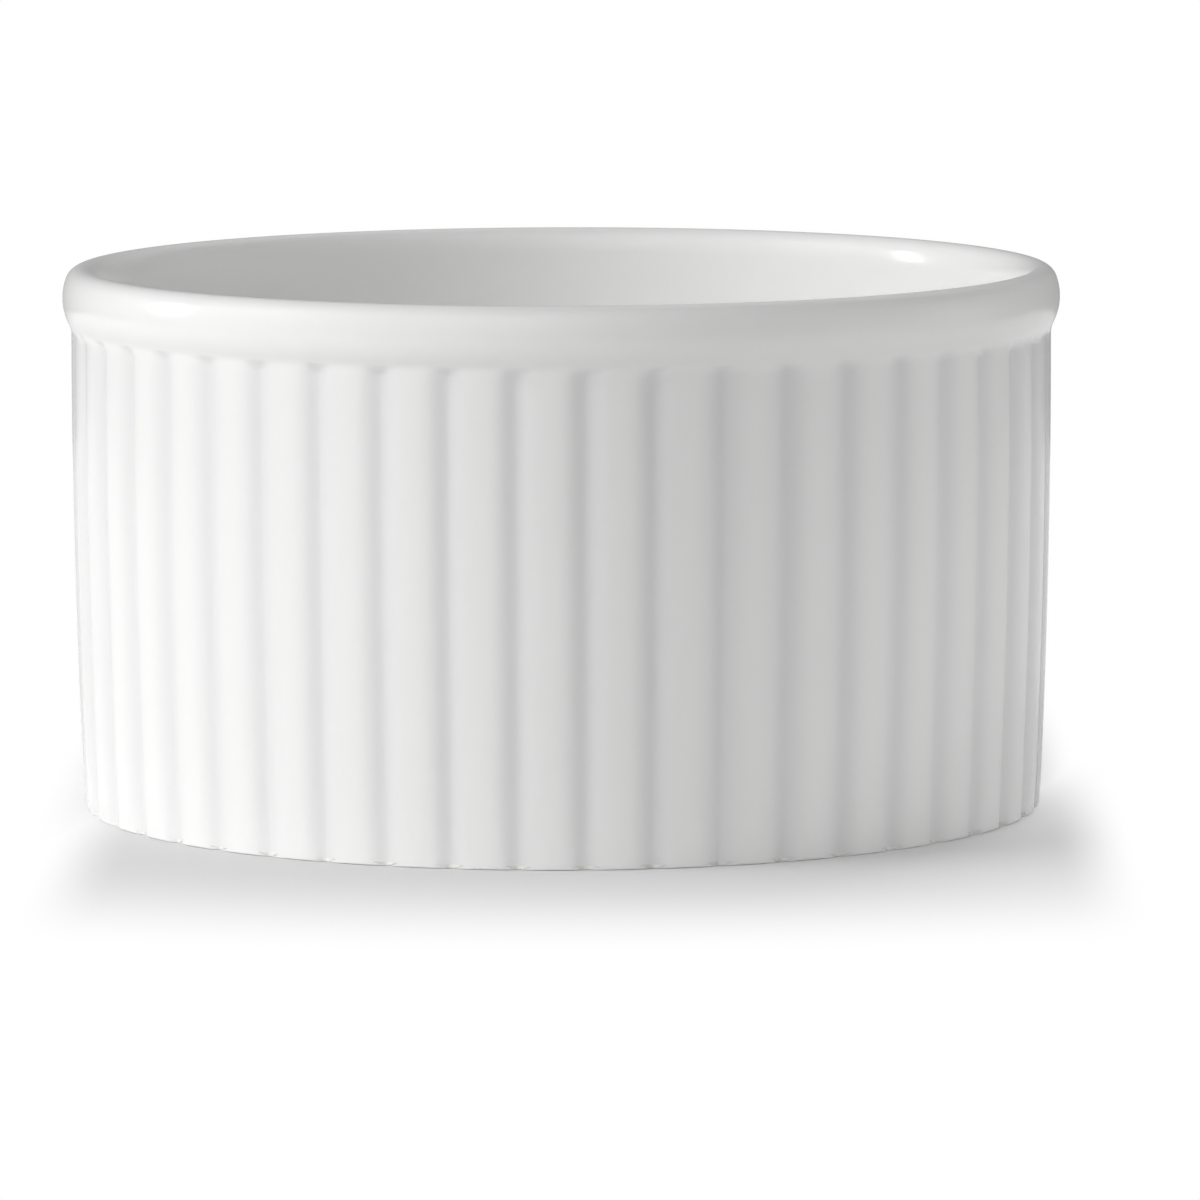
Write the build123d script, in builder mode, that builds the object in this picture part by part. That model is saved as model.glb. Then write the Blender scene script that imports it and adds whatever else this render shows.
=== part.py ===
from build123d import *
import os
from math import acos, asin, atan2, cos, degrees, hypot, radians, sin

os.makedirs("parts", exist_ok=True)

# Ramekin in glazed porcelain. Millimetres, +Z up, origin on the table under the middle of the foot ring.

# Overall sizes
rim_diameter = 90.0
overall_height = 48.8

# Glaze: how thick it lies, and how far up from its underside the foot is wiped bare
glaze_thickness = 0.25
wiped_margin = 0.1

# Rim: a rounded lip on a plain band that swells past the ribbed wall
rim_thickness = 3.4
lip_height = 2.7
band_face_radius = 5.0
neck_radius = 2.2
band_overhang = 0.78

# Wall: drawn in from the band to the base
wall_draw_in = 0.85
base_edge_radius = 0.9

# Flutes: narrow concave grooves, with broad ribs left between them
rib_count = 46
flute_depth = 0.55
flute_floor_radius = 0.6
rib_shoulder_radius = 2.8
crest_relief = 0.02
flute_top_below_band = 0.2

# Each flute opens out under the band, so that the ribs end in rounded corners
flare_height = 1.5
flare_floor_radius = 2.0
flare_shoulder_radius = 2.0

# Clay under the glaze: its flutes are plain scoops, and its base edge is a bevel
clay_scoop_radius = 2.2
clay_bevel_share = 0.62

# Inside
inner_draw_in = 1.3
inner_corner_radius = 7.0
floor_thickness = 3.4

# Foot ring and the recess inside it
foot_ring_width = 3.0
foot_recess_depth = 1.2
foot_inner_slope = 0.5
foot_inner_edge_radius = 0.6
recess_corner_radius = 0.8

# How far every cutter runs past what it cuts
overrun = 1.0

# Rim, worked out from its sizes: every arc of it runs on smoothly from the one before
rim_radius = rim_diameter / 2
lip_half_width = rim_thickness / 2
widest_height = overall_height - lip_height
lip_radius = (band_face_radius * rim_thickness - lip_half_width**2 - lip_height**2) / (
    2 * (band_face_radius - lip_height)
)
lip_turn = degrees(atan2(lip_height - lip_radius, band_face_radius - lip_half_width))
under_turn = degrees(acos(1 - band_overhang / (band_face_radius + neck_radius)))
band_bottom_height = widest_height - band_face_radius * sin(radians(under_turn))

# Wall and flutes
wall_top_height = band_bottom_height - neck_radius * sin(radians(under_turn))
wall_top_radius = rim_radius - band_overhang
wall_base_radius = wall_top_radius - wall_draw_in
wall_length = hypot(wall_top_height, wall_draw_in)
flute_top_height = band_bottom_height - flute_top_below_band
clay_bevel = clay_bevel_share * (base_edge_radius - glaze_thickness)

# Inside and foot
inner_top_radius = rim_radius - rim_thickness
inner_base_radius = inner_top_radius - inner_draw_in
floor_height = foot_recess_depth + floor_thickness
foot_inner_radius = wall_base_radius - base_edge_radius - foot_ring_width
recess_radius = foot_inner_radius - foot_inner_slope
glaze_line_height = glaze_thickness + wiped_margin


def vessel_section(is_clay):
    """Half section at the glazed surface or at the clay, whose small corners are plain or bevelled."""
    inset = glaze_thickness if is_clay else 0
    face_radius = band_face_radius - inset
    base_corner = (wall_base_radius - inset, inset)
    foot_corner = (foot_inner_radius + inset, inset)
    recess_corner = (recess_radius + inset, foot_recess_depth + inset)
    floor_corner = (inner_base_radius + inset, floor_height - inset)
    with BuildSketch(Plane.XZ) as section:
        with BuildLine():
            inner = JernArc((inner_top_radius + inset, widest_height), (0, 1), face_radius, -lip_turn)
            lip = JernArc(inner @ 1, inner % 1, lip_radius - inset, 2 * lip_turn - 180)
            band = JernArc(lip @ 1, lip % 1, face_radius, -lip_turn - under_turn)
            if is_clay:
                neck = Line(band @ 1, (wall_top_radius - inset, wall_top_height))
            else:
                neck = JernArc(band @ 1, band % 1, neck_radius, under_turn)
            Polyline(
                neck @ 1,
                base_corner,
                foot_corner,
                recess_corner,
                (0, foot_recess_depth + inset),
                (0, floor_height - inset),
                floor_corner,
                inner @ 0,
            )
        make_face()
        rounded_corners = [(floor_corner, inner_corner_radius + inset)]
        if is_clay:
            chamfer(section.vertices().sort_by_distance(base_corner)[0], clay_bevel)
        else:
            rounded_corners += [
                (base_corner, base_edge_radius),
                (foot_corner, foot_inner_edge_radius),
                (recess_corner, recess_corner_radius),
            ]
        for corner, radius in rounded_corners:
            fillet(section.vertices().sort_by_distance(corner)[0], radius)
    return section.sketch


def square_to_wall(height):
    """Plane square to the sloping wall, with its origin on the wall's face and its X pointing out."""
    down_the_wall = Vector(-wall_draw_in, 0, -wall_top_height).normalized()
    origin = Vector(wall_top_radius, 0, wall_top_height) + down_the_wall * (wall_top_height - height)
    return Plane(origin=origin, x_dir=Vector(-down_the_wall.Z, 0, down_the_wall.X), z_dir=-down_the_wall)


def flute_section(plane, floor_radius, shoulder_radius):
    """A concave floor that runs smoothly into a convex shoulder on each side, open outward."""
    crest = wall_top_radius
    floor_centre = crest - flute_depth + floor_radius
    shoulder_centre = crest + crest_relief - shoulder_radius
    reach = floor_radius + shoulder_radius
    half_turn = acos(
        (floor_centre**2 + shoulder_centre**2 - reach**2) / (2 * floor_centre * shoulder_centre)
    )
    shoulder_in = shoulder_centre * cos(half_turn) - crest
    shoulder_side = shoulder_centre * sin(half_turn)
    lean = degrees(asin(shoulder_side / reach))
    crest_angle = degrees(half_turn)
    open_in = (crest + overrun) * cos(half_turn) - crest
    open_side = (crest + overrun) * sin(half_turn)
    with BuildSketch(plane) as section:
        with BuildLine():
            CenterArc((floor_centre - crest, 0), floor_radius, 180 - lean, 2 * lean)
            right = CenterArc(
                (shoulder_in, shoulder_side), shoulder_radius, crest_angle, -crest_angle - lean
            )
            left = CenterArc(
                (shoulder_in, -shoulder_side), shoulder_radius, -crest_angle, crest_angle + lean
            )
            Polyline(right @ 0, (open_in, open_side), (open_in, -open_side), left @ 0)
        make_face()
    return section.sketch


def clay_scoop_section(plane):
    """One concave arc that meets the clay wall at a sharp edge on each side, open outward."""
    crest = wall_top_radius - glaze_thickness
    floor_centre = crest - flute_depth + clay_scoop_radius
    half_turn = acos(
        (floor_centre**2 + crest**2 - clay_scoop_radius**2) / (2 * floor_centre * crest)
    )
    edge_in = crest * cos(half_turn) - wall_top_radius
    edge_side = crest * sin(half_turn)
    open_in = (wall_top_radius + overrun) * cos(half_turn) - wall_top_radius
    open_side = (wall_top_radius + overrun) * sin(half_turn)
    floor_in = -glaze_thickness - flute_depth
    with BuildSketch(plane) as section:
        with BuildLine():
            ThreePointArc((edge_in, edge_side), (floor_in, 0), (edge_in, -edge_side))
            Polyline(
                (edge_in, edge_side),
                (open_in, open_side),
                (open_in, -open_side),
                (edge_in, -edge_side),
            )
        make_face()
    return section.sketch


# Cutter for one flute of the glazed surface
flare_base = square_to_wall(flute_top_height - flare_height)
narrow_flute = flute_section(flare_base, flute_floor_radius, rib_shoulder_radius)
wide_flute = flute_section(flare_base.offset(flare_height), flare_floor_radius, flare_shoulder_radius)
with BuildPart() as flute_cutter:
    extrude(narrow_flute, amount=-(wall_length + overrun))
    loft([narrow_flute.face(), wide_flute.face()], ruled=True)

# Cutter for one scoop in the clay, which ends the glaze's thickness above the flute
scoop_top = square_to_wall(flute_top_height + glaze_thickness)
with BuildPart() as scoop_cutter:
    extrude(clay_scoop_section(scoop_top), amount=-(wall_length + overrun))

# Vessel at its glazed surface
with BuildPart() as glazed_form:
    revolve(vessel_section(is_clay=False), axis=Axis.Z)
    with PolarLocations(0, rib_count):
        add(flute_cutter.part, mode=Mode.SUBTRACT)

# Foot up to the glaze line: here the clay is bare and comes out to the glazed surface
with BuildPart() as bare_foot:
    add(glazed_form.part)
    split(bisect_by=Plane.XY.offset(glaze_line_height), keep=Keep.BOTTOM)

# Clay where the glaze covers it
with BuildPart() as covered_clay:
    revolve(vessel_section(is_clay=True), axis=Axis.Z)
    with PolarLocations(0, rib_count):
        add(scoop_cutter.part, mode=Mode.SUBTRACT)

# Porcelain body: the fired clay with its bare foot ring
with BuildPart() as porcelain_body:
    add(covered_clay.part)
    add(bare_foot.part)
porcelain_body.part.label = "porcelain_body"
export_step(porcelain_body.part, "parts/porcelain_body.step")

# Glaze: what lies between the clay and the glazed surface, above the glaze line
with BuildPart() as all_glaze:
    add(glazed_form.part)
    split(bisect_by=Plane.XY.offset(glaze_line_height), keep=Keep.TOP)
    add(covered_clay.part, mode=Mode.SUBTRACT)
glaze_solids = all_glaze.solids().sort_by(Axis.Z)

# Glaze coat over the outside, the rim and the inside
with BuildPart() as glaze_coat:
    add(glaze_solids[-1])
glaze_coat.part.label = "glaze_coat"
export_step(glaze_coat.part, "parts/glaze_coat.step")

# Glaze in the recess inside the foot ring
with BuildPart() as underside_glaze:
    add(glaze_solids[0])
underside_glaze.part.label = "underside_glaze"
export_step(underside_glaze.part, "parts/underside_glaze.step")
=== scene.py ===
from math import acos, asin, atan, atan2, cos, pi, radians, sin, sqrt

import bpy
from bpy.props import FloatProperty, FloatVectorProperty, IntProperty, PointerProperty
from bpy.types import Operator, Panel, PropertyGroup
from mathutils import Matrix, Vector


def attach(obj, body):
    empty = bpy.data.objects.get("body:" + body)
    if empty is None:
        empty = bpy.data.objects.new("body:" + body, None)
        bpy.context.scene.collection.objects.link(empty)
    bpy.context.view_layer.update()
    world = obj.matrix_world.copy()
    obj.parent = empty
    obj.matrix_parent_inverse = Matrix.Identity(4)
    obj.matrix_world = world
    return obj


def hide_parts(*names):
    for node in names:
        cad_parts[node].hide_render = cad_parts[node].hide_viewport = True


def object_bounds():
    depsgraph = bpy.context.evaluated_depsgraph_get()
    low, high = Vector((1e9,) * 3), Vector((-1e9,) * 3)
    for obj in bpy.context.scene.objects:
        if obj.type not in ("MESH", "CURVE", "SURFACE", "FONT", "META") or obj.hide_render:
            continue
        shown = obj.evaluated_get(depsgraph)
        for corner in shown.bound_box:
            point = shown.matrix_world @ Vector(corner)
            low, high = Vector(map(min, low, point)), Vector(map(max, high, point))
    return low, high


bl_info = {
    "name": "Ramekin",
    "version": (1, 0, 0),
    "blender": (4, 5, 0),
    "location": "View3D > Sidebar > Ramekin",
    "description": "Glazes a ribbed porcelain ramekin and lights it on a pale studio floor",
    "category": "Object",
}

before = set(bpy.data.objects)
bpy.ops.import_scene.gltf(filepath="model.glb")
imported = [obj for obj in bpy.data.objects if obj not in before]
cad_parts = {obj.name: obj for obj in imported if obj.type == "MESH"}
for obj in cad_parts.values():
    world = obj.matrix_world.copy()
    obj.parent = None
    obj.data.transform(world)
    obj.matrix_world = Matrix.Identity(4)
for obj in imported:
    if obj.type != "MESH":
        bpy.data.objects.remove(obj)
cad_low, cad_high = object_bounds()

BODY = "root"

# Rows of the glaze's mesh: up the wall, over the lip and down the inside to the floor
BASE_EDGE_ROWS = 12
WALL_ROWS = 14
FLARE_ROWS = 20
NECK_ROWS = 3
BAND_ROWS = 14
LIP_ROWS = 18
INNER_LIP_ROWS = 5
INSIDE_ROWS = 8
CORNER_ROWS = 14
# Power that crowds the mesh's columns into the flutes
COLUMN_CROWDING = 1.6
# Radius of the one round face in the middle of the floor, as a share of the flat floor's radius
FLOOR_FACE_SHARE = 0.6

# Finishes: roughness from and to, heights of waves and grain in metres, and how light the rubbed
# patches of the clay are beside the rest
GLAZE_ROUGHNESS = (0.16, 0.24)
GLAZE_IOR = 1.5
GLAZE_WAVE_HEIGHT = 0.000012
UNDERSIDE_WAVE_HEIGHT = 0.00002
CLAY_ROUGHNESS = (0.6, 0.8)
CLAY_GRAIN_HEIGHT = 0.00003
CLAY_RUBBED_SHARE = 0.86

# Floor: half its side, and how far it lies under the foot, in metres
FLOOR_HALF = 0.3
FLOOR_DROP = 0.00002
FLOOR_ROUGHNESS = 0.9

# Shade that the floor keeps in front of the ramekin and behind it, where the camera sees the
# floor in its darker painted-shadow colour. Each patch fades out round its centre, drawn out
# sideways by
# 1 / SHADE_STRETCH, and sooner at its left and right edges. Lengths are in metres. The whiteness
# is that of its middle, and is 1 where the floor keeps no shade.
FRONT_SHADE_CENTRE = (0.0031, -0.0263)
BACK_SHADE_CENTRE = (0.0, 0.0263)
SHADE_STRETCH = 0.54
SHADE_FADE = (0.0092, 0.0625)
SHADE_EDGE = (0.0404, 0.0478)
SHADE_WHITENESS = 0.12

# Width of the camera's frame in millimetres
FRAME_WIDTH = 36.0


class RamekinRimSizes(PropertyGroup):
    """Sizes of the smooth rim band and of the inside."""

    diameter: FloatProperty(
        name="Rim diameter",
        description="Across the widest level of the band",
        default=2 * min(cad_high.x, cad_high.y),
        unit="LENGTH",
    )
    height: FloatProperty(
        name="Height",
        description="From the table to the top of the lip",
        default=cad_high.z,
        unit="LENGTH",
    )
    thickness: FloatProperty(
        name="Rim thickness",
        description="From the inside to the outside at the widest level",
        default=0.0034,
        unit="LENGTH",
    )
    lip_height: FloatProperty(
        name="Lip height",
        description="From the widest level to the top of the lip",
        default=0.0027,
        unit="LENGTH",
    )
    face_radius: FloatProperty(
        name="Band face radius",
        description="Radius of the band's swelling face, seen in section",
        default=0.005,
        unit="LENGTH",
    )
    neck_radius: FloatProperty(
        name="Neck radius",
        description="Radius of the hollow where the band meets the wall",
        default=0.0022,
        unit="LENGTH",
    )
    overhang: FloatProperty(
        name="Band overhang",
        description="How far the band stands proud of the ribs",
        default=0.00078,
        unit="LENGTH",
    )
    inner_draw_in: FloatProperty(
        name="Inner taper",
        description="How far the inside draws in from the rim to the floor",
        default=0.0013,
        unit="LENGTH",
    )
    inner_corner: FloatProperty(
        name="Inner corner radius",
        description="Radius between the inside wall and the floor",
        default=0.007,
        unit="LENGTH",
    )
    floor_height: FloatProperty(
        name="Floor height",
        description="From the table to the glazed floor inside",
        default=0.0046,
        unit="LENGTH",
    )


class RamekinWallSizes(PropertyGroup):
    """Sizes of the ribbed wall and of its glaze."""

    rib_count: IntProperty(
        name="Ribs",
        description="How many ribs stand round the wall",
        default=46,
        min=8,
    )
    flute_depth: FloatProperty(
        name="Flute depth",
        description="From the top of the ribs to the bottom of the flutes",
        default=0.00055,
        unit="LENGTH",
    )
    hollow_radius: FloatProperty(
        name="Hollow radius",
        description="Radius at the bottom of the flutes",
        default=0.0016,
        unit="LENGTH",
    )
    shoulder_radius: FloatProperty(
        name="Shoulder radius",
        description="Radius of the rounded shoulders of the ribs",
        default=0.0046,
        unit="LENGTH",
    )
    crown: FloatProperty(
        name="Rib crown",
        description="How far the face of each rib swells between its shoulders",
        default=0.00008,
        unit="LENGTH",
    )
    flare_hollow_radius: FloatProperty(
        name="Hollow radius under the band",
        description="Radius at the bottom of the flutes at their top, where they open out",
        default=0.0020,
        unit="LENGTH",
    )
    flare_shoulder_radius: FloatProperty(
        name="Shoulder radius under the band",
        description="Radius of the shoulders of the ribs at their top",
        default=0.0020,
        unit="LENGTH",
    )
    flare_height: FloatProperty(
        name="Flare height",
        description="Height over which each flute opens out under the band",
        default=0.0015,
        unit="LENGTH",
    )
    flute_end: FloatProperty(
        name="Flute end",
        description="Height over which each flute closes under the band",
        default=0.0011,
        unit="LENGTH",
    )
    flute_gap: FloatProperty(
        name="Flute gap",
        description="From the top of the flutes to the band",
        default=0.0002,
        unit="LENGTH",
    )
    draw_in: FloatProperty(
        name="Taper",
        description="How far the wall draws in from the band to the base",
        default=0.00085,
        unit="LENGTH",
    )
    bow: FloatProperty(
        name="Bow",
        description="How far the wall bellies out at half height",
        default=0.00026,
        unit="LENGTH",
    )
    base_radius: FloatProperty(
        name="Base edge radius",
        description="Radius of the edge between the wall and the foot",
        default=0.00035,
        unit="LENGTH",
    )
    base_blend: FloatProperty(
        name="Base softness",
        description="How softly the flutes run out on the base edge",
        default=0.0002,
        unit="LENGTH",
    )
    glaze_line: FloatProperty(
        name="Glaze line",
        description="Height of the glaze's lower edge",
        default=0.00003,
        unit="LENGTH",
    )
    glaze_thickness: FloatProperty(
        name="Glaze thickness",
        description="How thick the glaze lies on the clay",
        default=0.00024,
        unit="LENGTH",
    )
    # Spread of the thick glaze and of the shade painted into the flutes
    pooling_and_shade: FloatProperty(
        name="Pooling and shade",
        description="Power of the depth that the pooled glaze follows: lower spreads it wider",
        default=0.6,
    )
    steps_per_rib: IntProperty(
        name="Steps per rib",
        description="Mesh columns across one rib and its flute",
        default=16,
        min=8,
    )


class RamekinColours(PropertyGroup):
    """Colours of the finishes."""

    glaze: FloatVectorProperty(
        name="Glaze",
        description="White of the glaze over the ribs, the rim and the inside",
        subtype="COLOR",
        default=(0.80, 0.80, 0.795),
    )
    # Painted shade, partly real: a darker white where thick glaze gathers in the flutes, darker
    # than the glaze alone would be, so that the flutes look shaded
    pooled_and_shaded: FloatVectorProperty(
        name="Pooled glaze and shade",
        description="Glaze where it lies thicker, in the flutes",
        subtype="COLOR",
        default=(0.72, 0.725, 0.72),
    )
    clay: FloatVectorProperty(
        name="Bare clay",
        description="Fired clay of the foot ring",
        subtype="COLOR",
        default=(0.82, 0.81, 0.785),
    )
    floor: FloatVectorProperty(
        name="Floor",
        description="Pale studio floor",
        subtype="COLOR",
        default=(0.93, 0.93, 0.93),
    )
    # Painted shadow: darker than the floor's own colour and seen only by the camera, to deepen
    # the shade on the floor
    floor_painted_shadow: FloatVectorProperty(
        name="Floor with painted shadow",
        description="Colour of the floor in the ramekin's shadow, as the camera sees it",
        subtype="COLOR",
        default=(0.656, 0.656, 0.656),
    )


class RamekinStage(PropertyGroup):
    """Camera and lamps."""

    camera_distance: FloatProperty(
        name="Camera distance",
        description="From the ramekin's axis to the camera, along the floor",
        default=0.8,
        unit="LENGTH",
    )
    camera_height: FloatProperty(
        name="Camera height",
        description="From the floor to the camera",
        default=0.1145,
        unit="LENGTH",
    )
    camera_turn: FloatProperty(
        name="Camera turn",
        description="How far the camera stands round the ramekin, towards its right",
        default=radians(1.2),
        subtype="ANGLE",
    )
    camera_pitch: FloatProperty(
        name="Camera pitch",
        description="How far the camera looks down",
        default=0.1197,
        subtype="ANGLE",
    )
    camera_yaw: FloatProperty(
        name="Camera yaw",
        description="How far the camera looks to the right of the axis",
        default=0.0043,
        subtype="ANGLE",
    )
    camera_roll: FloatProperty(
        name="Camera roll",
        description="How far the picture leans",
        default=-0.0021,
        subtype="ANGLE",
    )
    lens: FloatProperty(
        name="Lens",
        description="Focal length in millimetres on a 36 mm frame",
        default=266.5,
    )
    world_strength: FloatProperty(
        name="Room",
        description="How bright the room is that the glaze mirrors",
        default=0.2,
    )
    light_level: FloatProperty(
        name="Light level",
        description="Scales the power of all the lamps",
        default=1.0,
    )
    lamp_distance: FloatProperty(
        name="Lamp distance",
        description="From the ramekin to each lamp",
        default=1.5,
        unit="LENGTH",
    )


def arc_points(centre, radius, start, end, steps):
    """Points of an arc in the half section, from one angle to another, both in radians."""
    angles = [start + (end - start) * i / steps for i in range(steps + 1)]
    return [(centre[0] + radius * cos(a), centre[1] + radius * sin(a)) for a in angles]


def smooth(share):
    """0 to 1 with a level start and end, held at 0 and 1 outside."""
    t = min(max(share, 0.0), 1.0)
    return t * t * (3 - 2 * t)


def mix(a, b, share):
    """From one value to another, by a share."""
    return a + (b - a) * share


def soft_least(a, b, blend):
    """The smaller of two lengths, with a rounded change from one to the other."""
    h = max(blend - abs(a - b), 0.0) / blend
    return min(a, b) - h * h * blend / 4


def flute_drop(across, depth, hollow_radius, shoulder_radius):
    """Depth of a flute, at a distance from its middle: a hollow arc that runs smoothly into
    the rounded shoulder beside it."""
    reach = hollow_radius + shoulder_radius
    turn = acos(1 - depth / reach)
    half_width = reach * sin(turn)
    if across > half_width:
        return 0.0
    if across < hollow_radius * sin(turn):
        return depth - hollow_radius + sqrt(hollow_radius**2 - across**2)
    return shoulder_radius - sqrt(shoulder_radius**2 - (half_width - across) ** 2)


class Outline:
    """Levels of the vessel's half section, worked out from its sizes."""

    def __init__(self, rim, wall):
        self.rim = rim
        self.wall = wall
        self.rim_radius = rim.diameter / 2
        self.widest = rim.height - rim.lip_height
        half = rim.thickness / 2
        self.lip_radius = (rim.face_radius * rim.thickness - half**2 - rim.lip_height**2) / (
            2 * (rim.face_radius - rim.lip_height)
        )
        self.lip_turn = atan2(rim.lip_height - self.lip_radius, rim.face_radius - half)
        self.under_turn = acos(1 - rim.overhang / (rim.face_radius + rim.neck_radius))
        self.band_bottom = self.widest - rim.face_radius * sin(self.under_turn)
        self.wall_top = self.band_bottom - rim.neck_radius * sin(self.under_turn)
        self.flute_top = self.band_bottom - wall.flute_gap
        self.wall_radius = self.rim_radius - rim.overhang
        self.base_radius = self.wall_radius - wall.draw_in
        self.inner_radius = self.rim_radius - rim.thickness

    def crest(self, height):
        """Radius of the rib tops on the wall."""
        share = min(height / self.wall_top, 1.0)
        bow = self.wall.bow * 4 * share * (1 - share)
        return self.base_radius + self.wall.draw_in * share + bow

    def closed(self, height):
        """How far the flutes have closed at a height: 0 on the wall, 1 at their top."""
        return min(max(1 - (self.flute_top - height) / self.wall.flute_end, 0.0), 1.0)

    def neck(self, height):
        """How far the neck swings out at a height, from the wall towards the band."""
        rise = max(height - self.wall_top, 0.0)
        return self.rim.neck_radius - sqrt(self.rim.neck_radius**2 - rise**2)

    def ribbed(self, height):
        """1 on the ribbed wall, going over to 0 on the base edge and on the neck."""
        to_band = (height - self.wall_top) / (self.flute_top - self.wall_top)
        return smooth(height / self.wall.base_radius) * (1 - smooth(to_band))

    def flute(self, height, across, half_pitch):
        """Depth of a flute at a height of the wall and a distance from its middle."""
        wall = self.wall
        flare = smooth(1 - (self.flute_top - height) / wall.flare_height)
        hollow = mix(wall.hollow_radius, wall.flare_hollow_radius, flare)
        shoulder = mix(wall.shoulder_radius, wall.flare_shoulder_radius, flare)
        crown = wall.crown * (1 - across / half_pitch) ** 2
        drop = flute_drop(across, wall.flute_depth - wall.crown, hollow, shoulder) + crown
        return drop * (1 - smooth(self.closed(height)))

    def base_arc(self):
        """The rounded base edge, from the glaze line up to the wall."""
        radius = self.wall.base_radius
        start = -asin((radius - self.wall.glaze_line) / radius)
        centre = (self.base_radius - radius, radius)
        return arc_points(centre, radius, start, 0.0, BASE_EDGE_ROWS)

    def wall_heights(self):
        """Heights of the wall's mesh rows, closer together where the flutes end."""
        low = self.wall.base_radius
        flare_low = self.flute_top - self.wall.flare_height
        plain = [low + (flare_low - low) * i / WALL_ROWS for i in range(1, WALL_ROWS + 1)]
        turns = [pi / 2 * i / FLARE_ROWS for i in range(1, FLARE_ROWS + 1)]
        return plain + [flare_low + self.wall.flare_height * sin(turn) for turn in turns]

    def smooth_rows(self):
        """Rows above the ribs and inside, as radius and height, to the edge of the flat floor."""
        rim = self.rim
        under, lip = self.under_turn, self.lip_turn
        neck_centre = (self.wall_radius + rim.neck_radius, self.wall_top)
        band_centre = (self.rim_radius - rim.face_radius, self.widest)
        inner_centre = (self.inner_radius + rim.face_radius, self.widest)
        lip_centre = ((self.rim_radius + self.inner_radius) / 2, rim.height - self.lip_radius)
        inner_height = self.widest - rim.floor_height
        lean = atan(rim.inner_draw_in / inner_height)
        corner_height = rim.floor_height + rim.inner_corner
        inner_base = self.inner_radius - rim.inner_draw_in
        wall_at_corner = inner_base + rim.inner_draw_in * rim.inner_corner / inner_height
        corner_centre = (wall_at_corner - rim.inner_corner / cos(lean), corner_height)
        flute_turn = asin((self.flute_top - self.wall_top) / rim.neck_radius)
        rows = []
        for centre, radius, start, end, steps in (
            (neck_centre, rim.neck_radius, pi - flute_turn, pi - under, NECK_ROWS),
            (band_centre, rim.face_radius, -under, lip, BAND_ROWS),
            (lip_centre, self.lip_radius, lip, pi - lip, LIP_ROWS),
            (inner_centre, rim.face_radius, pi - lip, pi, INNER_LIP_ROWS),
        ):
            rows += arc_points(centre, radius, start, end, steps)[1:]
        corner = arc_points(corner_centre, rim.inner_corner, -lean, -pi / 2, CORNER_ROWS)
        top, low = rows[-1], corner[0]
        for i in range(1, INSIDE_ROWS):
            share = i / INSIDE_ROWS
            rows.append((mix(top[0], low[0], share), mix(top[1], low[1], share)))
        return rows + corner


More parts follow.
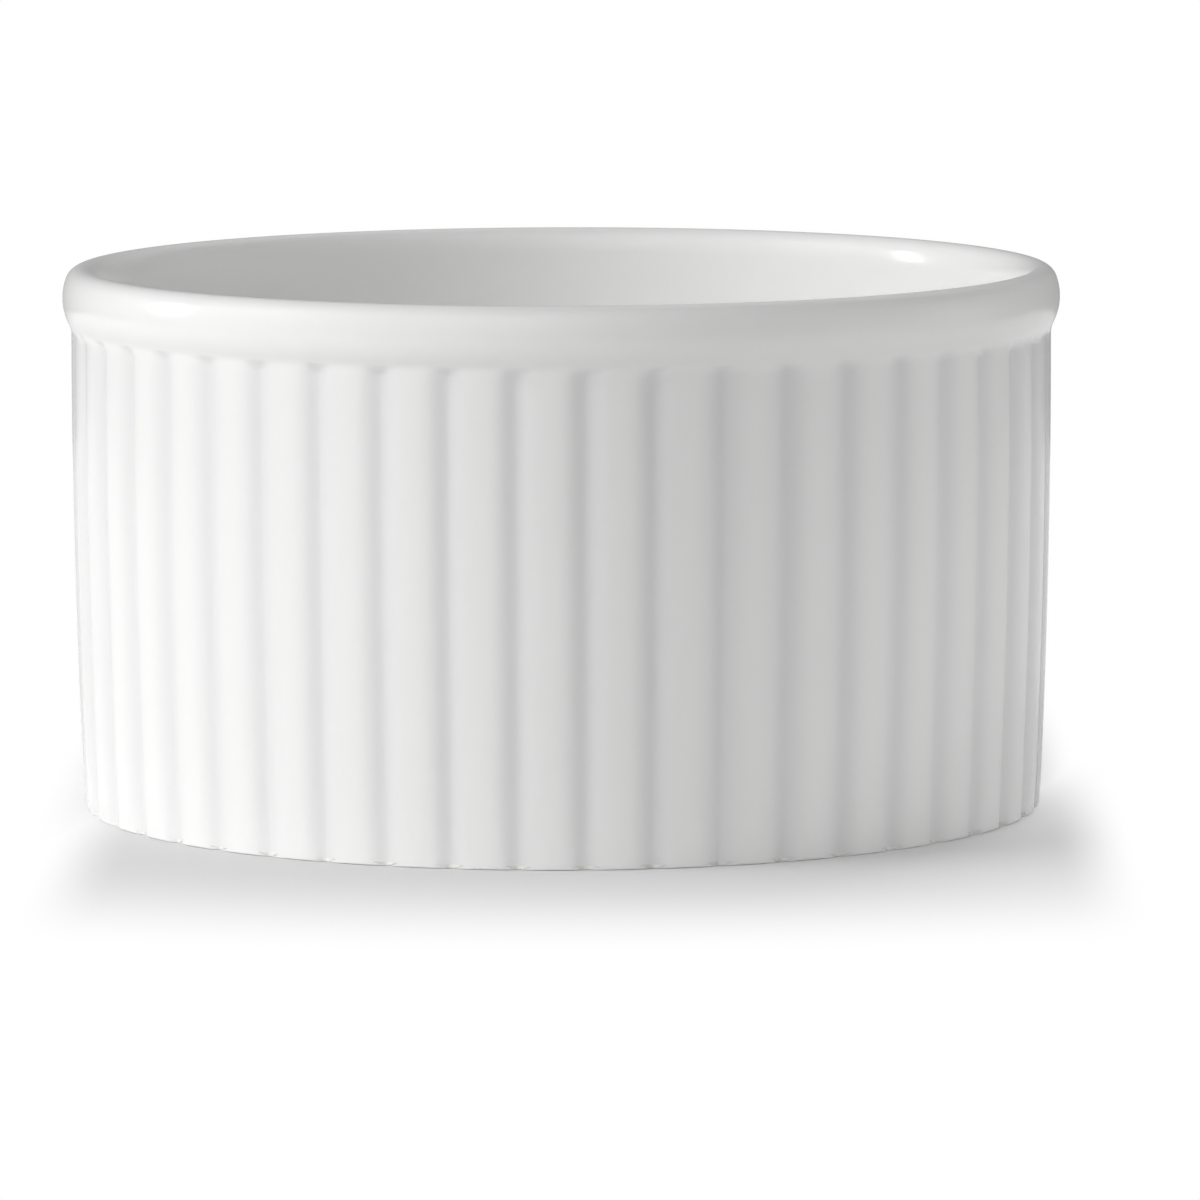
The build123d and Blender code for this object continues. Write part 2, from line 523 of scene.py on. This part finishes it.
def glaze_mesh(rim, wall):
    """Mesh of the glazed surface, with two attributes: how deep the glaze has gathered, which
    also masks the shade painted into the flutes, and where the ribs are."""
    outline = Outline(rim, wall)
    steps = wall.steps_per_rib
    columns = wall.rib_count * steps
    half_pitch_turn = pi / wall.rib_count
    # Columns stand closer together in the flutes than on the ribs
    from_flute = [
        (min(step, steps - step) / (steps / 2)) ** COLUMN_CROWDING for step in range(steps)
    ]
    vertices = []
    pooled_and_shaded = []
    ribbed = []

    def add_row(radius_at, height, pooled_and_shaded_at, ribbed_share):
        for column in range(columns):
            rib, step = divmod(column, steps)
            side = -1 if step > steps / 2 else 1
            turn = (2 * (rib + (side < 0)) + side * from_flute[step]) * half_pitch_turn
            radius = radius_at(column)
            vertices.append((radius * cos(turn), radius * sin(turn), height))
            pooled_and_shaded.append(pooled_and_shaded_at(column))
            ribbed.append(ribbed_share)

    def across(column, radius):
        return from_flute[column % steps] * radius * half_pitch_turn

    def fluted(height, plain_radius):
        crest = outline.crest(height)
        half_pitch = crest * half_pitch_turn
        neck = outline.neck(height)

        def radius_at(column):
            # The flutes run straight up, behind the neck that swings out on each side of them
            drop = outline.flute(height, across(column, crest), half_pitch)
            wall_radius = crest + neck * (1 - drop / wall.flute_depth) - drop
            return soft_least(wall_radius, plain_radius, wall.base_blend)

        # Depth below the plain surface: the mask for the thick glaze and for the painted shade in
        # the flutes
        def pooled_and_shaded_at(column):
            drop = min(crest + neck, plain_radius) - radius_at(column)
            return (max(drop, 0.0) / wall.flute_depth) ** wall.pooling_and_shade

        add_row(radius_at, height, pooled_and_shaded_at, outline.ribbed(height))

    smooth_rows = outline.smooth_rows()
    for plain_radius, height in outline.base_arc():
        fluted(height, plain_radius)
    for height in outline.wall_heights():
        fluted(height, outline.rim_radius)
    for radius, height in smooth_rows:
        add_row(lambda column, radius=radius: radius, height, lambda column: 0.0, 0.0)
    row_count = len(vertices) // columns
    faces = []
    for row in range(row_count - 1):
        for column in range(columns):
            beside = (column + 1) % columns
            low = row * columns
            high = low + columns
            faces.append((low + column, low + beside, high + beside, high + column))
    # The flat floor: a ring of wedges round one round face
    floor_edge = (row_count - 1) * columns
    face_radius = smooth_rows[-1][0] * FLOOR_FACE_SHARE
    wedges = wall.rib_count * 2
    per_wedge = columns // wedges
    first = len(vertices)
    for wedge in range(wedges):
        turn = 2 * pi * wedge / wedges
        vertices.append((face_radius * cos(turn), face_radius * sin(turn), rim.floor_height))
        pooled_and_shaded.append(0.0)
        ribbed.append(0.0)
    for wedge in range(wedges):
        outer = [floor_edge + (wedge * per_wedge + i) % columns for i in range(per_wedge + 1)]
        faces.append((*outer, first + (wedge + 1) % wedges, first + wedge))
    faces.append(tuple(first + wedge for wedge in range(wedges)))
    mesh = bpy.data.meshes.new("glaze_coat_surface")
    mesh.from_pydata(vertices, [], faces)
    for name, values in (("pooled_glaze_and_shade", pooled_and_shaded), ("ribbed", ribbed)):
        attribute = mesh.attributes.new(name, "FLOAT", "POINT")
        attribute.data.foreach_set("value", values)
    mesh.validate()
    mesh.shade_smooth()
    return mesh


def new_material(name):
    """A material with its node tree and its Principled shader."""
    material = bpy.data.materials.new(name)
    material.use_nodes = True
    return material, material.node_tree, material.node_tree.nodes["Principled BSDF"]


def add_node(tree, kind, **inputs):
    """A node with some of its inputs set by name, underscores standing for spaces."""
    node = tree.nodes.new(kind)
    for name, value in inputs.items():
        node.inputs[name.replace("_", " ")].default_value = value
    return node


def add_math(tree, operation):
    """A node that works out one number from others, by a named operation."""
    node = tree.nodes.new("ShaderNodeMath")
    node.operation = operation
    return node


def add_tint(tree, first, second):
    """A node that goes from one colour to another by its factor."""
    node = tree.nodes.new("ShaderNodeMix")
    node.data_type = "RGBA"
    node.inputs["A"].default_value = (*first, 1.0)
    node.inputs["B"].default_value = (*second, 1.0)
    return node


def add_bump(tree):
    """A bump node that takes its height in metres."""
    return add_node(tree, "ShaderNodeBump", Distance=1.0, Strength=1.0)


def new_group(name, inputs, outputs):
    """A shader group with number inputs, by name and default, and outputs, by name and kind."""
    group = bpy.data.node_groups.new(name, "ShaderNodeTree")
    for title, default in inputs.items():
        socket = group.interface.new_socket(title, in_out="INPUT", socket_type="NodeSocketFloat")
        socket.default_value = default
    for title, kind in outputs.items():
        group.interface.new_socket(title, in_out="OUTPUT", socket_type=kind)
    return group, group.nodes.new("NodeGroupInput"), group.nodes.new("NodeGroupOutput")


def ripple_group():
    """Glaze ripple: the long soft waves and fine grain of a fired glaze, as a height in metres,
    and faint smudges, from 0 to 1."""
    group, inside, outside = new_group(
        "Glaze ripple",
        {
            "Wave Height": 0.00001,
            "Grain Height": 0.000001,
            "Wave Scale": 130.0,
            "Grain Scale": 900.0,
        },
        {"Height": "NodeSocketFloat", "Smudge": "NodeSocketFloat"},
    )
    place = group.nodes.new("ShaderNodeTexCoord")
    waves = add_node(group, "ShaderNodeTexNoise", Detail=1.5)
    grain = add_node(group, "ShaderNodeTexNoise", Detail=3.0)
    wave_height = add_math(group, "MULTIPLY")
    height = add_math(group, "MULTIPLY_ADD")
    smudges = add_node(group, "ShaderNodeTexNoise", Scale=45.0, Detail=4.0, Roughness=0.6)
    links = group.links
    for texture in (waves, grain, smudges):
        links.new(place.outputs["Object"], texture.inputs["Vector"])
    links.new(inside.outputs["Wave Scale"], waves.inputs["Scale"])
    links.new(inside.outputs["Grain Scale"], grain.inputs["Scale"])
    links.new(waves.outputs["Fac"], wave_height.inputs[0])
    links.new(inside.outputs["Wave Height"], wave_height.inputs[1])
    links.new(grain.outputs["Fac"], height.inputs[0])
    links.new(inside.outputs["Grain Height"], height.inputs[1])
    links.new(wave_height.outputs[0], height.inputs[2])
    links.new(height.outputs[0], outside.inputs["Height"])
    links.new(smudges.outputs["Fac"], outside.inputs["Smudge"])
    return group


def pooled_and_shaded_group():
    """Thick glaze and painted shade: where the glaze gathers in the flutes, by the mesh's own
    measure of it, as a mask that also paints shade there.
    """
    group, inside, outside = new_group(
        "Pooled glaze and shade", {"Amount": 1.0}, {"Mask": "NodeSocketFloat"}
    )
    depth = group.nodes.new("ShaderNodeAttribute")
    depth.attribute_name = "pooled_glaze_and_shade"
    mask = add_math(group, "MULTIPLY")
    mask.use_clamp = True
    group.links.new(depth.outputs["Fac"], mask.inputs[0])
    group.links.new(inside.outputs["Amount"], mask.inputs[1])
    group.links.new(mask.outputs[0], outside.inputs["Mask"])
    return group


def soft_ribs_group():
    """Softened ribs: a translucent body's shading, whose normal turns less than the ribs do."""
    group, inside, outside = new_group(
        "Softened ribs", {"Softness": 0.55}, {"Normal": "NodeSocketVector"}
    )
    place = group.nodes.new("ShaderNodeTexCoord")
    split = group.nodes.new("ShaderNodeSeparateXYZ")
    level = group.nodes.new("ShaderNodeCombineXYZ")
    outward = group.nodes.new("ShaderNodeVectorTransform")
    outward.vector_type = "NORMAL"
    outward.convert_from = "OBJECT"
    outward.convert_to = "WORLD"
    surface = group.nodes.new("ShaderNodeNewGeometry")
    ribbed = group.nodes.new("ShaderNodeAttribute")
    ribbed.attribute_name = "ribbed"
    share = add_math(group, "MULTIPLY")
    blend = group.nodes.new("ShaderNodeMix")
    blend.data_type = "VECTOR"
    unit = group.nodes.new("ShaderNodeVectorMath")
    unit.operation = "NORMALIZE"
    links = group.links
    links.new(place.outputs["Object"], split.inputs[0])
    links.new(split.outputs["X"], level.inputs["X"])
    links.new(split.outputs["Y"], level.inputs["Y"])
    links.new(level.outputs[0], outward.inputs[0])
    links.new(ribbed.outputs["Fac"], share.inputs[0])
    links.new(inside.outputs["Softness"], share.inputs[1])
    links.new(share.outputs[0], blend.inputs["Factor"])
    links.new(surface.outputs["Normal"], blend.inputs["A"])
    links.new(outward.outputs[0], blend.inputs["B"])
    links.new(blend.outputs["Result"], unit.inputs[0])
    links.new(unit.outputs[0], outside.inputs["Normal"])
    return group


def place_group(tree, name, builder, **inputs):
    """A shader group placed in a material, built the first time that it is asked for."""
    group = bpy.data.node_groups.get(name) or builder()
    node = tree.nodes.new("ShaderNodeGroup")
    node.node_tree = group
    for socket, value in inputs.items():
        node.inputs[socket.replace("_", " ")].default_value = value
    return node


def glaze_material(name, colours, wave_height):
    """White glaze: even and glossy, a little deeper in colour in the flutes, partly where thick
    glaze gathers and partly as painted shade.
    """
    material, tree, shader = new_material(name)
    links = tree.links
    ripple = place_group(tree, "Glaze ripple", ripple_group, Wave_Height=wave_height)
    pooled_and_shaded = place_group(tree, "Pooled glaze and shade", pooled_and_shaded_group)
    soft_ribs = place_group(tree, "Softened ribs", soft_ribs_group)
    # Painted shade: the flutes take the darker colour, partly from the thick glaze there
    tint = add_tint(tree, colours.glaze, colours.pooled_and_shaded)
    bump = add_bump(tree)
    least, most = GLAZE_ROUGHNESS
    roughness = add_node(tree, "ShaderNodeMapRange", To_Min=least, To_Max=most)
    links.new(pooled_and_shaded.outputs["Mask"], tint.inputs["Factor"])
    links.new(tint.outputs["Result"], shader.inputs["Base Color"])
    links.new(ripple.outputs["Height"], bump.inputs["Height"])
    links.new(soft_ribs.outputs["Normal"], bump.inputs["Normal"])
    links.new(bump.outputs["Normal"], shader.inputs["Normal"])
    links.new(ripple.outputs["Smudge"], roughness.inputs["Value"])
    links.new(roughness.outputs["Result"], shader.inputs["Roughness"])
    shader.inputs["IOR"].default_value = GLAZE_IOR
    return material


def clay_material(colours):
    """Bare fired clay: matt and fine-grained, with greyer rubbed patches."""
    material, tree, shader = new_material("Bare clay")
    links = tree.links
    place = tree.nodes.new("ShaderNodeTexCoord")
    grain = add_node(tree, "ShaderNodeTexNoise", Scale=2500.0, Detail=4.0)
    rubbed = add_node(tree, "ShaderNodeTexNoise", Scale=120.0, Detail=3.0)
    tint = add_tint(tree, [CLAY_RUBBED_SHARE * part for part in colours.clay], colours.clay)
    height = add_math(tree, "MULTIPLY")
    height.inputs[1].default_value = CLAY_GRAIN_HEIGHT
    bump = add_bump(tree)
    least, most = CLAY_ROUGHNESS
    roughness = add_node(tree, "ShaderNodeMapRange", To_Min=least, To_Max=most)
    for texture in (grain, rubbed):
        links.new(place.outputs["Object"], texture.inputs["Vector"])
    links.new(rubbed.outputs["Fac"], tint.inputs["Factor"])
    links.new(tint.outputs["Result"], shader.inputs["Base Color"])
    links.new(grain.outputs["Fac"], height.inputs[0])
    links.new(height.outputs[0], bump.inputs["Height"])
    links.new(bump.outputs["Normal"], shader.inputs["Normal"])
    links.new(rubbed.outputs["Fac"], roughness.inputs["Value"])
    links.new(roughness.outputs["Result"], shader.inputs["Roughness"])
    return material


def add_object(name, data):
    """An object of the scene's own collection."""
    obj = bpy.data.objects.new(name, data)
    bpy.context.scene.collection.objects.link(obj)
    return obj


def dress_node(node, material):
    """Gives a CAD node its finish."""
    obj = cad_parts[node]
    for slot in obj.material_slots:
        slot.material = material


class RAMEKIN_OT_glaze_coat(Operator):
    """Build the glaze over the outside, the rim and the inside"""

    bl_idname = "ramekin.glaze_coat"
    bl_label = "Glaze coat"

    def execute(self, context):
        scene = context.scene
        coat = add_object("glazed_surface", glaze_mesh(scene.ramekin_rim, scene.ramekin_wall))
        glaze = glaze_material("White glaze", scene.ramekin_colours, GLAZE_WAVE_HEIGHT)
        coat.data.materials.append(glaze)
        skin = coat.modifiers.new("Glaze thickness", "SOLIDIFY")
        skin.thickness = scene.ramekin_wall.glaze_thickness
        skin.offset = -1.0
        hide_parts("glaze_coat")
        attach(coat, BODY)
        return {"FINISHED"}


class RAMEKIN_OT_underside_glaze(Operator):
    """Give the glaze in the recess of the foot its finish"""

    bl_idname = "ramekin.underside_glaze"
    bl_label = "Underside glaze"

    def execute(self, context):
        colours = context.scene.ramekin_colours
        glaze = glaze_material("Underside glaze", colours, UNDERSIDE_WAVE_HEIGHT)
        dress_node("underside_glaze", glaze)
        return {"FINISHED"}


class RAMEKIN_OT_clay_body(Operator):
    """Give the clay body and its bare foot ring their finish"""

    bl_idname = "ramekin.clay_body"
    bl_label = "Clay body"

    def execute(self, context):
        dress_node("porcelain_body", clay_material(context.scene.ramekin_colours))
        return {"FINISHED"}


def add_shade_patch(tree, place, centre):
    """How white the floor is seen over a patch that keeps its shade: least at its middle, going
    over to 1 outside, and sooner at its left and right edges."""
    shift = tree.nodes.new("ShaderNodeVectorMath")
    shift.operation = "MULTIPLY_ADD"
    shift.inputs[1].default_value = (SHADE_STRETCH, 1.0, 1.0)
    shift.inputs[2].default_value = (-SHADE_STRETCH * centre[0], -centre[1], 0.0)
    distance = tree.nodes.new("ShaderNodeVectorMath")
    distance.operation = "LENGTH"
    split = tree.nodes.new("ShaderNodeSeparateXYZ")
    sideways = add_math(tree, "ABSOLUTE")
    near, far = SHADE_FADE
    round_fade = add_node(
        tree, "ShaderNodeMapRange", From_Min=near, From_Max=far, To_Min=SHADE_WHITENESS
    )
    near, far = [SHADE_STRETCH * edge for edge in SHADE_EDGE]
    side_fade = add_node(tree, "ShaderNodeMapRange", From_Min=near, From_Max=far)
    outside = add_node(tree, "ShaderNodeMix", B=1.0)
    links = tree.links
    links.new(place.outputs["Object"], shift.inputs[0])
    links.new(shift.outputs["Vector"], distance.inputs[0])
    links.new(distance.outputs["Value"], round_fade.inputs["Value"])
    links.new(shift.outputs["Vector"], split.inputs[0])
    links.new(split.outputs["X"], sideways.inputs[0])
    links.new(sideways.outputs[0], side_fade.inputs["Value"])
    for fade, socket in ((round_fade, "A"), (side_fade, "Factor")):
        fade.interpolation_type = "SMOOTHSTEP"
        links.new(fade.outputs["Result"], outside.inputs[socket])
    return outside


def floor_material(colours):
    """Pale floor: it keeps the ramekin's shadow, deepened by a darker colour that only the camera
    sees, a painted shadow, and goes over to plain white further out.
    """
    material, tree, shader = new_material("Studio floor")
    links = tree.links
    shader.inputs["Roughness"].default_value = FLOOR_ROUGHNESS
    shader.inputs["Specular IOR Level"].default_value = 0.0
    path = tree.nodes.new("ShaderNodeLightPath")
    # Painted shadow: camera rays see the floor in a darker colour than the light bounces off, so
    # its shade looks deeper
    tint = add_tint(tree, colours.floor, colours.floor_painted_shadow)
    place = tree.nodes.new("ShaderNodeTexCoord")
    front = add_shade_patch(tree, place, FRONT_SHADE_CENTRE)
    back = add_shade_patch(tree, place, BACK_SHADE_CENTRE)
    outside = add_math(tree, "MINIMUM")
    share = add_math(tree, "MULTIPLY")
    white = add_node(tree, "ShaderNodeEmission", Strength=1.0)
    seen = tree.nodes.new("ShaderNodeMixShader")
    output = tree.nodes["Material Output"]
    links.new(path.outputs["Is Camera Ray"], tint.inputs["Factor"])
    links.new(tint.outputs["Result"], shader.inputs["Base Color"])
    links.new(front.outputs["Result"], outside.inputs[0])
    links.new(back.outputs["Result"], outside.inputs[1])
    links.new(path.outputs["Is Camera Ray"], share.inputs[0])
    links.new(outside.outputs[0], share.inputs[1])
    links.new(share.outputs[0], seen.inputs["Fac"])
    links.new(shader.outputs["BSDF"], seen.inputs[1])
    links.new(white.outputs["Emission"], seen.inputs[2])
    links.new(seen.outputs[0], output.inputs["Surface"])
    return material


# Azimuth from the front, to the right, and elevation, in degrees, then width and height in metres
# and power in watts
LAMPS = {
    "Key": (-75, 32, 0.7, 0.7, 11.5),
    "Key front": (-45, 32, 0.7, 0.7, 1.7),
    "Key low": (-75, 8, 0.7, 0.7, 2.4),
    "Front": (-15, 32, 0.7, 0.7, 8.3),
    "Front right": (15, 32, 0.7, 0.7, 1.0),
    "Side": (105, 8, 0.7, 0.7, 3.9),
    "Side low": (105, 3, 0.7, 0.3, 5.9),
    "Back": (165, 32, 0.7, 0.7, 10.7),
    "Back left": (-130, 25, 0.7, 0.7, 1.9),
    "Window": (-101, 15, 0.2, 0.4, 2.2),
}
MIRRORED_LAMP = "Window"


def add_lamp(name, azimuth, elevation, width, height, power, stage):
    """A soft lamp that faces the ramekin. The glaze mirrors one lamp alone."""
    lamp = bpy.data.lights.new(name, "AREA")
    lamp.shape = "RECTANGLE"
    lamp.size = width
    lamp.size_y = height
    lamp.energy = power * stage.light_level
    obj = add_object(name, lamp)
    obj.visible_glossy = name == MIRRORED_LAMP
    level = cos(radians(elevation))
    towards = Vector(
        (sin(radians(azimuth)) * level, -cos(radians(azimuth)) * level, sin(radians(elevation)))
    )
    obj.location = Vector((0, 0, cad_high.z / 2)) + towards * stage.lamp_distance
    obj.rotation_euler = towards.to_track_quat("Z", "Y").to_euler()


def add_camera(stage):
    """The camera at the photograph's viewing angle."""
    data = bpy.data.cameras.new("Camera")
    data.sensor_width = FRAME_WIDTH
    data.lens = stage.lens
    data.clip_start = 0.01
    data.clip_end = 20.0
    camera = add_object("Camera", data)
    pitch, yaw, roll = stage.camera_pitch, stage.camera_yaw, stage.camera_roll
    forward = Vector((sin(yaw) * cos(pitch), cos(yaw) * cos(pitch), -sin(pitch)))
    level = Vector((cos(yaw), -sin(yaw), 0))
    upright = level.cross(forward)
    right = level * cos(roll) + upright * sin(roll)
    up = right.cross(forward)
    looking = Matrix((right, up, -forward)).transposed().to_4x4()
    place = Matrix.Translation((0, -stage.camera_distance, stage.camera_height))
    camera.matrix_world = Matrix.Rotation(stage.camera_turn, 4, "Z") @ place @ looking
    bpy.context.scene.camera = camera


def light_world(strength):
    """The dim room that the glaze mirrors, with plain white behind."""
    world = bpy.data.worlds.new("Studio")
    world.use_nodes = True
    tree = world.node_tree
    room = tree.nodes["Background"]
    room.inputs["Color"].default_value = (1.0, 1.0, 1.0, 1.0)
    white = add_node(tree, "ShaderNodeBackground", Strength=1.0)
    white.inputs["Color"].default_value = (1.0, 1.0, 1.0, 1.0)
    path = tree.nodes.new("ShaderNodeLightPath")
    dim = add_math(tree, "MULTIPLY")
    dim.inputs[1].default_value = strength
    seen = tree.nodes.new("ShaderNodeMixShader")
    links = tree.links
    links.new(path.outputs["Is Glossy Ray"], dim.inputs[0])
    links.new(dim.outputs[0], room.inputs["Strength"])
    links.new(path.outputs["Is Camera Ray"], seen.inputs["Fac"])
    links.new(room.outputs["Background"], seen.inputs[1])
    links.new(white.outputs["Background"], seen.inputs[2])
    links.new(seen.outputs[0], tree.nodes["World Output"].inputs["Surface"])
    bpy.context.scene.world = world


class RAMEKIN_OT_stage(Operator):
    """Lay the floor, hang the lamps and place the camera"""

    bl_idname = "ramekin.stage"
    bl_label = "Stage"

    def execute(self, context):
        scene = context.scene
        stage = scene.ramekin_stage
        mesh = bpy.data.meshes.new("studio_floor")
        sides = ((-1, -1), (1, -1), (1, 1), (-1, 1))
        corners = [(x * FLOOR_HALF, y * FLOOR_HALF, -FLOOR_DROP) for x, y in sides]
        mesh.from_pydata(corners, [], [(0, 1, 2, 3)])
        floor = add_object("studio_floor", mesh)
        floor.data.materials.append(floor_material(scene.ramekin_colours))
        for name, settings in LAMPS.items():
            add_lamp(name, *settings, stage)
        light_world(stage.world_strength)
        add_camera(stage)
        scene.view_settings.view_transform = "Standard"
        return {"FINISHED"}


class RAMEKIN_PT_panel(Panel):
    """Everything that makes up the ramekin, and its stage"""

    bl_label = "Ramekin"
    bl_space_type = "VIEW_3D"
    bl_region_type = "UI"
    bl_category = "Ramekin"

    def draw(self, context):
        layout = self.layout
        for operator in OPERATORS:
            layout.operator(operator.bl_idname)
        for name in SETTINGS:
            settings = getattr(context.scene, name)
            box = layout.box()
            for setting in settings.__annotations__:
                box.prop(settings, setting)


SETTINGS = {
    "ramekin_rim": RamekinRimSizes,
    "ramekin_wall": RamekinWallSizes,
    "ramekin_colours": RamekinColours,
    "ramekin_stage": RamekinStage,
}
OPERATORS = (
    RAMEKIN_OT_glaze_coat,
    RAMEKIN_OT_underside_glaze,
    RAMEKIN_OT_clay_body,
    RAMEKIN_OT_stage,
)
CLASSES = (*SETTINGS.values(), *OPERATORS, RAMEKIN_PT_panel)


def register():
    for cls in CLASSES:
        bpy.utils.register_class(cls)
    for name, cls in SETTINGS.items():
        setattr(bpy.types.Scene, name, PointerProperty(type=cls))


def unregister():
    for name in SETTINGS:
        delattr(bpy.types.Scene, name)
    for cls in reversed(CLASSES):
        bpy.utils.unregister_class(cls)


def main():
    register()
    bpy.ops.ramekin.glaze_coat()
    bpy.ops.ramekin.underside_glaze()
    bpy.ops.ramekin.clay_body()
    bpy.ops.ramekin.stage()


if __name__ == "__main__":
    main()
